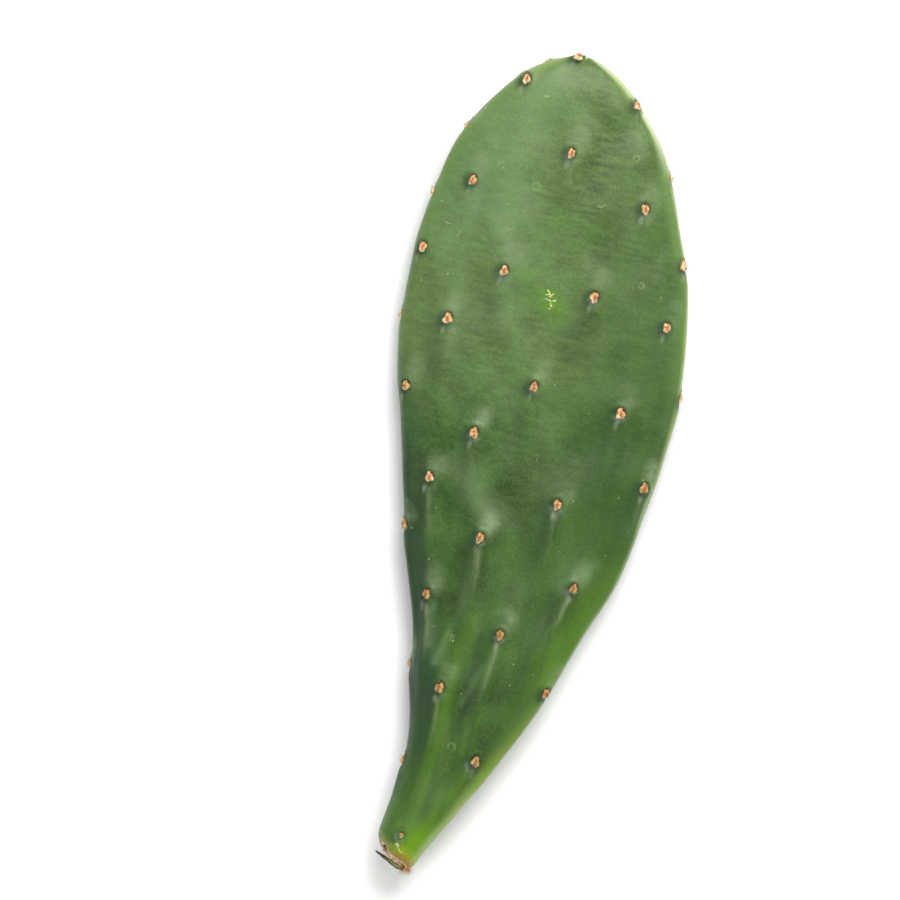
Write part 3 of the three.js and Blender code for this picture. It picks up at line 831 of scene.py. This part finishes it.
def areoleFelt(material):
    # one cushion in each seat: the felt's height over an oval with a wavy edge, which is broader below
    # than above, slimmer or wider by a seeded draw, and leans a little
    shape = feltShape
    rng = np.random.default_rng(shape["seed"])
    number = len(areoles["y"])
    single = (number, 1, 1)
    r = np.linspace(0, 1, shape["rings"])[1:][None, :, None]
    a = turns(shape["around"])[None, None]
    start = rng.uniform(0, 6.3, single)
    radiusStray, turnStray = shape["lobeStray"]
    lobes = [(shape["lobeAt"] + rng.normal(0, radiusStray, single),
              start + 2 * np.pi * k / shape["lobes"] + rng.normal(0, turnStray, single))
             for k in range(shape["lobes"])]
    wave = rng.uniform(0, 6.3, (number, 3, 1, 1))
    edge = 1 + shape["uneven"] * r * (np.sin(3 * a + wave[:, 0]) + 0.6 * np.sin(5 * a + wave[:, 1]))
    height, lift = feltHeight(r, a, lobes)
    height = height + shape["ripple"] * np.sin(9 * a + wave[:, 1]) * np.sin(11 * r + wave[:, 2]) * (1 - r)
    slimmer = rng.uniform(*shape["slimness"], single)
    leaning = rng.normal(0, shape["leaning"], single)
    along = shape["along"] * r * np.sin(a) * edge / np.sqrt(slimmer)
    across = (shape["across"] * slimmer * r * np.cos(a) * edge * (1 - shape["pear"] * np.sin(a) * r)
              + leaning * along)
    # the lower felts are older and browner
    aged = ((1 - shape["agedShare"]) * rng.uniform(0, 1, number)
            + shape["agedShare"] * (1 - smoothStep(*shape["agedPlace"], areoles["y"])))
    top = feltHeight(np.zeros((1, 1, 1)), a[..., :1], lobes)
    topHeight, topLift = (values[:, 0, 0] for values in top)
    none = np.zeros(number)
    points = np.concatenate([fromSeats(across, along, height).reshape(-1, 3),
                             fromSeats(none, none, topHeight)])
    points[:, 2] = np.maximum(points[:, 2], shape["lowest"])
    rings, around = height.shape[1:]
    firsts = np.arange(number)[:, None, None] * rings * around
    fans = fan(around, 0)[None] + firsts
    fans[..., 0] = number * rings * around + np.arange(number)[:, None]
    quads = (gridFaces(rings, around)[None] + firsts).reshape(-1, 4)
    piece = makePiece("areole_felt", points, quads[:, ::-1], fans.reshape(-1, 3), material)
    for name, pairs in (("feltPlace", ((lift, topLift), (r, none), (aged[:, None, None], aged))),
                        ("feltSpot", ((r * np.cos(a), none), (r * np.sin(a), none), (0, none)))):
        keepValues(piece, name, *(np.concatenate([np.broadcast_to(inRings, lift.shape).ravel(), onTop])
                                  for inRings, onTop in pairs))


def hairs(name, roots, ways, lengths, look, material):
    # each hair is a slim three-sided cone in two steps, bent aside by a seeded turn
    rng = np.random.default_rng(look["seed"])
    ways = unit(ways)
    helper = unit(np.cross(ways, rng.normal(size=ways.shape)))
    other = np.cross(ways, helper)
    k = turns(3)
    ring = helper[:, None] * np.cos(k)[None, :, None] + other[:, None] * np.sin(k)[None, :, None]
    steps = []
    for f, thick in ((0.0, 1.0), (0.55, 0.75), (1.0, 0.0)):
        centre = roots + ways * (lengths * f)[:, None] + helper * (lengths * look["bend"] * f * f)[:, None]
        steps.append(centre[:, None] + ring * look["radius"] * thick)
    points = np.concatenate([steps[0], steps[1], steps[2][:, :1]], 1)
    points[..., 2] = np.maximum(points[..., 2], 0.02)
    first = (np.arange(len(roots)) * 7)[:, None]
    quads = np.concatenate([first + np.array([i, (i + 1) % 3, 3 + (i + 1) % 3, 3 + i]) for i in range(3)])
    triangles = np.concatenate([first + np.array([3 + i, 3 + (i + 1) % 3, 6]) for i in range(3)]
                               + [first + np.array([2, 1, 0])])
    makePiece(name, points, quads, triangles, material)


def areoleHairs(name, look, material):
    # hairs that stand over each cushion, lean outwards and are turned aside by seeded draws
    rng = np.random.default_rng(look["seed"])
    number = (len(areoles["y"]), look["count"])
    r = np.sqrt(rng.uniform(0, 1, number)) * look["within"]
    a = rng.uniform(0, 2 * np.pi, number)
    across, along = r * np.cos(a), r * np.sin(a)
    height = feltShape["height"] * (1 - feltShape["lobeShare"]) * np.sqrt(1 - r * r)
    roots = fromSeats(feltShape["across"] * across, feltShape["along"] * along, height)
    tilt = look["lean"] * np.stack([across, along], -1) + rng.normal(0, look["stray"], (*number, 2))
    side, up, out = (areoles[key][:, None] for key in ("side", "up", "out"))
    ways = tilt[..., :1] * side + tilt[..., 1:] * up + out
    lengths = rng.uniform(*look["length"], number) * areoles["size"][:, None]
    hairs(name, roots.reshape(-1, 3), ways.reshape(-1, 3), lengths.ravel(), look, material)


woolShape = {"count": 70, "length": (0.3, 0.75), "radius": 0.04, "lean": 0.9, "stray": 0.4, "within": 0.95,
             "bend": 0.4, "seed": 31}
glochidShape = {"count": 12, "length": (0.7, 1.5), "radius": 0.045, "lean": 0.7, "stray": 0.3, "within": 0.7,
                "bend": 0.15, "seed": 47}
feltLook = {
    **colours(cream=(252, 240, 204), peach=(240, 202, 146), salmon=(210, 130, 76), dark=(112, 66, 36),
              rim=(112, 82, 38)),
    "aged": (0.68, 0.76, 0.62, 1.0),
    "slot": (0.0, -0.05, 0.42, 0.68), "slotSwing": 0.7,
    "roughness": 0.95, "specular": 0.2, "grain": (9000.0, 3.0), "bump": (0.8, 0.0002),
}
feltSlot = ("slot", 1.5, 0.2)
feltLayers = [
    # over peach: salmon, a cream painted highlight where the wool stands high and on the lower part, and a
    # few dark dots, most in the slot
    ("salmon", 0.6, ("tone", 0, 1)),
    ("cream", 0.95, ("lift", 0.45, 0.9), ("radius", 0.3, 0.6), ("mottle", 1000, 1, 0.36, 0.56),
     "younger"),
    ("cream", 0.8, ("above", 0.1, -0.7), ("mottle", 1300, 1, 0.36, 0.56), "younger"),
    ("salmon", 0.35, ("above", 0.2, 0.8), ("mottle", 1100, 1, 0.4, 0.56)),
    ("salmon", 0.95, feltSlot, ("mottle", 1200, 1, 0.3, 0.5)),
    ("dark", 0.75, feltSlot, ("mottle", 1600, 1, 0.48, 0.56)),
    ("salmon", 0.9, ("mottle", 1900, 1, 0.54, 0.62), ("radius", 0.95, 0.7)),
    ("dark", 0.5, ("mottle", 2300, 1, 0.57, 0.63), ("above", -0.9, 0.1)),
]
# the brown upper edge is partly painted shadow under the lip of the seat; a ragged brown ring runs round the
# edge
feltEdges = [("rim", 0.8, ("crest", 0.85, 1.2)), ("rim", 0.7, ("ragged", 0.93, 1.03))]


def feltMaterial():
    # layers of wool, darker in the older areoles, with cream painted highlights, and a brown upper edge that
    # is partly painted shadow
    look = feltLook
    material, tree, shader = newMaterial("areoleFelt", {"Roughness": look["roughness"],
                                                        "Specular IOR Level": look["specular"]})
    lift, radius, tone = split(tree, "feltPlace")
    aside, above = split(tree, "feltSpot")[:2]
    swung = scaled(tree, mathNode(tree, "SUBTRACT", tone, 0.5), look["slotSwing"], aside)
    crest = scaled(tree, aside, 0.5, above)
    sources = {
        "lift": lift, "radius": radius, "tone": tone, "above": above,
        "younger": scaled(tree, tone, -0.5, 1.0),
        "slot": ovalSquare(tree, swung, above, *look["slot"]),
        "crest": scaled(tree, mottle(tree, 1400), 0.3, crest),
        "ragged": scaled(tree, mottle(tree, 1500), 0.12, radius),
    }
    base = layOver(tree, look, look["peach"], sources, feltLayers)
    base = mixColour(tree, fade(tree, tone, 0.3, 0.75), base, look["aged"], "MULTIPLY")
    base = layOver(tree, look, base, sources, feltEdges)
    setColour(tree, shader, base)
    setBump(tree, shader, fineGrain(tree, *look["grain"]), *look["bump"])
    return material


# Two colours, the scale of the mottling between them, and the roughness.
hairLook = {
    "areoleWool": ((222, 156, 96), (255, 236, 204), 1500, 0.9),
    "glochid": ((140, 84, 36), (236, 204, 150), 900, 0.5),
    "scarFibre": ((160, 98, 44), (226, 168, 104), 600, 0.8),
}


def hairMaterial(name):
    dark, light, scale, roughness = hairLook[name]
    material, tree, shader = newMaterial(name, {"Roughness": roughness})
    base = mixColour(tree, mottle(tree, scale, 1.0, 0.4, 0.62), colour(*dark), colour(*light))
    setColour(tree, shader, base)
    return material


# ---- the scar of the cut ----
scarShape = {
    "rings": 46, "around": 120, "overlap": 1.06, "turnedIn": 0.25,
    "profile": ([0, 0.22, 0.45, 0.6, 0.78, 0.92, 1.0], [0.3, 0.5, 1.0, 0.5, -0.1, 0.45, 0.05]),
    "wrinkles": 14, "roughness": 0.22, "fineness": 0.22, "seed": 8,
    "pits": [(0.5, 3.1, 0.3, 2.3), (0.7, -0.35, 0.2, 1.6), (0.2, -1.2, 0.14, 0.9), (0.6, 2.0, 0.12, 0.7)],
}


def scarHeight(r, a):
    # a profile over the share of the radius, radial and ring-wise wrinkles, and a few pits
    shape = scarShape
    rng = np.random.default_rng(shape["seed"])
    height = np.interp(r, *shape["profile"])
    for k in range(shape["wrinkles"]):
        radial = np.sin((3 + 2 * k) * a + rng.uniform(0, 6.3) + rng.normal(0, 5) * r)
        ringed = np.sin((4 + 2.4 * k) * r + rng.uniform(0, 6.3))
        depth = shape["roughness"] / (1 + shape["fineness"] * k)
        height = height + depth * radial * ringed * np.minimum(1, 3 * r)
    for radius, turn, wide, deep in shape["pits"]:
        height = height - deep * bell(polarDistance(r, a, radius, turn), wide)
    return height


def scarCrust(material):
    shape = scarShape
    rings, around = shape["rings"] - 1, shape["around"]
    r, a = np.broadcast_arrays(np.linspace(0, 1, rings + 1)[1:][:, None], turns(around)[None])
    height = scarHeight(r, a)
    points = bareSkin(np.full(r.shape, padShape["scarAt"]), a, r * shape["overlap"])
    tilt = unit(np.array([-padShape["cutSlant"], -1.0, padShape["cutLean"]]))
    points = points + tilt * (height - shape["turnedIn"] * smoothStep(0.9, 1.0, r))[..., None]
    heart = fan(around, rings * around, turned=True)
    piece = makePiece("scar_crust", np.concatenate([points.reshape(-1, 3), [points[0].mean(0)]]),
                      gridFaces(rings, around)[:, ::-1], heart[:, ::-1], material)
    keepValues(piece, "crustHeight", np.concatenate([height.ravel(), [height[0].mean()]]))
    keepValues(piece, "crustRadius", np.concatenate([r.ravel(), [0]]))


crustLook = {
    **colours(hole=(34, 24, 14), pulp=(234, 196, 146), cream=(255, 246, 228), brown=(178, 120, 64),
              edge=(200, 146, 80)),
    "roughness": 0.85, "grain": (2600.0, 5.0), "bump": (0.7, 0.0003),
}
# the low places dark with painted shade, the crests cream with a painted highlight
crustLayers = [("pulp", 1, ("height", -0.35, 0.3)), ("cream", 1, ("height", 0.35, 1)),
               ("brown", 0.7, ("mottle", 700, 0.4, 0.48, 0.62)),
               ("hole", 0.75, ("mottle", 1500, 0.5, 0.58, 0.64)),
               ("edge", 0.6, ("radius", 0.94, 1))]


def crustMaterial():
    # dark painted shade in the holes and low places, dry pulp, and a cream painted highlight on the crests
    look = crustLook
    material, tree, shader = newMaterial("driedScar", {"Roughness": look["roughness"]})
    sources = {"height": attribute(tree, "crustHeight"), "radius": attribute(tree, "crustRadius")}
    base = layOver(tree, look, look["hole"], sources, crustLayers)
    setColour(tree, shader, base)
    setBump(tree, shader, fineGrain(tree, *look["grain"]), *look["bump"])
    return material


# ---- the dried sliver and the fibres ----
sliverShape = {
    "spots": [(1.0, 0.3), (-0.8, -1.6), (-4.6, 0.0), (-8.7, 1.9)],
    "halfWidth": 0.95, "halfThickness": 0.38, "taper": 0.75, "thinning": 0.5, "curl": 0.35,
    "waviness": (0.08, 9), "ripple": (0.2, 31, 3), "tip": 0.75, "lift": 1.4, "rise": 1.2,
    "steps": 60, "around": 24,
}


def splinePoints(spots, f):   # the same cubic through spots, reflected past the ends
    p = np.array([2 * np.array(spots[0]) - spots[1], *spots, 2 * np.array(spots[-1]) - spots[-2]], float)
    place = np.clip(f * (len(spots) - 1), 0, len(spots) - 1)
    i = np.minimum(place.astype(int), len(spots) - 2)
    return cubic(p[i], p[i + 1], p[i + 2], p[i + 3], (place - i)[:, None])


def drySliver(material):
    # a thin curled strip: a crescent section, tapering along its curl
    shape = sliverShape
    f = np.linspace(0, 1, shape["steps"])
    flat = splinePoints(shape["spots"], f)
    way = unit(np.gradient(flat, axis=0))
    z = middleHeight(np.array(0.0)) + shape["lift"] + shape["rise"] * f * f
    centre = np.concatenate([flat, z[:, None]], 1)
    side = np.stack([-way[:, 1], way[:, 0], np.zeros(len(f))], 1)
    around = shape["around"]
    a = turns(around)
    (wave, waves), (ripple, ripples, phase) = shape["waviness"], shape["ripple"]
    wide = shape["halfWidth"] * (1 - shape["taper"] * f * f) * (1 + wave * np.sin(waves * f))
    thick = shape["halfThickness"] * (1 - shape["thinning"] * f) * (1 + ripple * np.sin(ripples * f + phase))
    tipped = shape["tip"] * side + np.sqrt(1 - shape["tip"] ** 2) * np.array([0, 0, 1.0])
    across = wide[:, None] * np.cos(a)
    deep = thick[:, None] * np.sin(a) - shape["curl"] * across * np.cos(a)
    rings = centre[:, None] + across[..., None] * tipped[:, None] + deep[..., None] * side[:, None]
    count = len(f) * around
    points = np.concatenate([rings.reshape(-1, 3), [rings[0].mean(0), rings[-1].mean(0)]])
    ends = np.concatenate([fan(around, count, turned=True), fan(around, count + 1, count - around)])
    piece = makePiece("dry_sliver", points, gridFaces(len(f), around), ends, material)
    place = np.stack(np.broadcast_arrays(np.abs(np.cos(a)), f[:, None], 0.0), -1).reshape(-1, 3)
    keepValues(piece, "sliverPlace", *np.concatenate([place, [[0, 0, 0], [0, 1, 0]]]).T)


sliverLook = colours(dark=(34, 34, 22), light=(74, 76, 46), pale=(168, 170, 112))
sliverLayers = [("light", 1, ("mottle", 500, 0.3, 0.4, 0.6)),
                ("pale", 0.85, ("edge", 0.8, 0.45), ("along", 0.8, 0.5))]


def sliverMaterial():
    # dark and dry, paler towards the middle of the strip where it leaves the neck
    material, tree, shader = newMaterial("drySliver", {"Roughness": 0.7})
    edge, along = split(tree, "sliverPlace")[:2]
    base = layOver(tree, sliverLook, sliverLook["dark"], {"edge": edge, "along": along}, sliverLayers)
    setColour(tree, shader, base)
    return material


fibreShape = {"count": 130, "root": (0.9, 0.1), "reach": 0.9, "lift": 1.3, "length": (1.4, 4.4),
              "radius": 0.085, "spread": 0.36, "leaning": 0.3, "climb": 0.15, "stray": 0.12,
              "bend": 0.25, "seed": 21}


def scarFibres(material):
    # a tuft that fans out from the cut, its roots spread over the thickness
    shape = fibreShape
    rng = np.random.default_rng(shape["seed"])
    count = shape["count"]
    fanned = rng.uniform(-1, 1, count)
    lift = rng.normal(0, shape["lift"], count)
    x, y = shape["root"]
    z = middleHeight(np.array(0.0)) + lift
    roots = np.stack([x + fanned * shape["reach"], np.full(count, y), z], 1)
    turn = fanned * shape["spread"]
    ways = np.stack([np.sin(turn) + shape["leaning"], -np.cos(turn), shape["climb"] * lift], 1)
    ways = ways + rng.normal(0, shape["stray"], ways.shape)
    hairs("scar_fibres", roots, ways, rng.uniform(*shape["length"], count), shape, material)


# ---- floor, light and camera ----
stageLook = {
    "floor": colour(250, 250, 250), "halfFloor": 3.0, "world": 0.6,
    "aim": (-13.3, 127.9, 9.0),     # what the camera looks at, in the pad's own millimetres
    "lean": 12.6,                   # how far the pad leans to the right in the view, in degrees
    "distance": 3.1, "lens": 400, "sensor": 36,   # metres, and millimetres
    # name, azimuth, elevation, distance, size and power
    "lights": [("key", 80, 58, 1.2, 0.6, 12), ("side", 22, 20, 1.2, 0.7, 3),
               ("fill", 200, 45, 1.3, 0.9, 2.5)],
}


def makeStage():
    floor = bpy.data.meshes.new("floor")
    s = stageLook["halfFloor"]
    floor.from_pydata([(-s, -s, 0), (s, -s, 0), (s, s, 0), (-s, s, 0)], [], [(0, 1, 2, 3)])
    piece = bpy.data.objects.new("floor", floor)
    bpy.context.scene.collection.objects.link(piece)
    values = {"Base Color": stageLook["floor"], "Roughness": 0.9, "Specular IOR Level": 0.1}
    floor.materials.append(newMaterial("paleFloor", values)[0])
    world = bpy.data.worlds.new("studio")
    world.use_nodes = True
    sky = world.node_tree.nodes["Background"]
    sky.inputs["Color"].default_value = (1, 1, 1, 1)
    sky.inputs["Strength"].default_value = stageLook["world"]
    bpy.context.scene.world = world
    bpy.context.scene.view_settings.view_transform = "Standard"


def softLight(name, azimuth, elevation, distance, size, power):
    # a square softbox that faces the pad; azimuth runs from +X round to +Y
    a, e = math.radians(azimuth), math.radians(elevation)
    light = bpy.data.lights.new(name, "AREA")
    light.shape, light.size, light.energy = "SQUARE", size, power
    lamp = bpy.data.objects.new(name, light)
    lamp.location = distance * Vector((math.cos(a) * math.cos(e), math.sin(a) * math.cos(e), math.sin(e)))
    lamp.rotation_euler = (-lamp.location).to_track_quat("-Z", "Y").to_euler()
    bpy.context.scene.collection.objects.link(lamp)


def makeCamera():
    look = stageLook
    camera = bpy.data.objects.new("camera", bpy.data.cameras.new("camera"))
    camera.data.lens, camera.data.sensor_width = look["lens"], look["sensor"]
    aim = Vector((np.array(look["aim"]) - frameAt) * mm)
    camera.location = aim + Vector((0, 0, look["distance"]))
    camera.rotation_euler = (0, 0, math.radians(look["lean"]))
    bpy.context.scene.collection.objects.link(camera)
    bpy.context.scene.camera = camera


# ---- making ----
makeCamera()
makeStage()
for lamp in stageLook["lights"]:
    softLight(*lamp)
print("stage made")

padSkin(cactusSkin())
print("skin made")
areoleFelt(feltMaterial())
areoleHairs("areole_wool", woolShape, hairMaterial("areoleWool"))
areoleHairs("glochids", glochidShape, hairMaterial("glochid"))
print("areoles made")
scarCrust(crustMaterial())
drySliver(sliverMaterial())
scarFibres(hairMaterial("scarFibre"))
print("scar made")
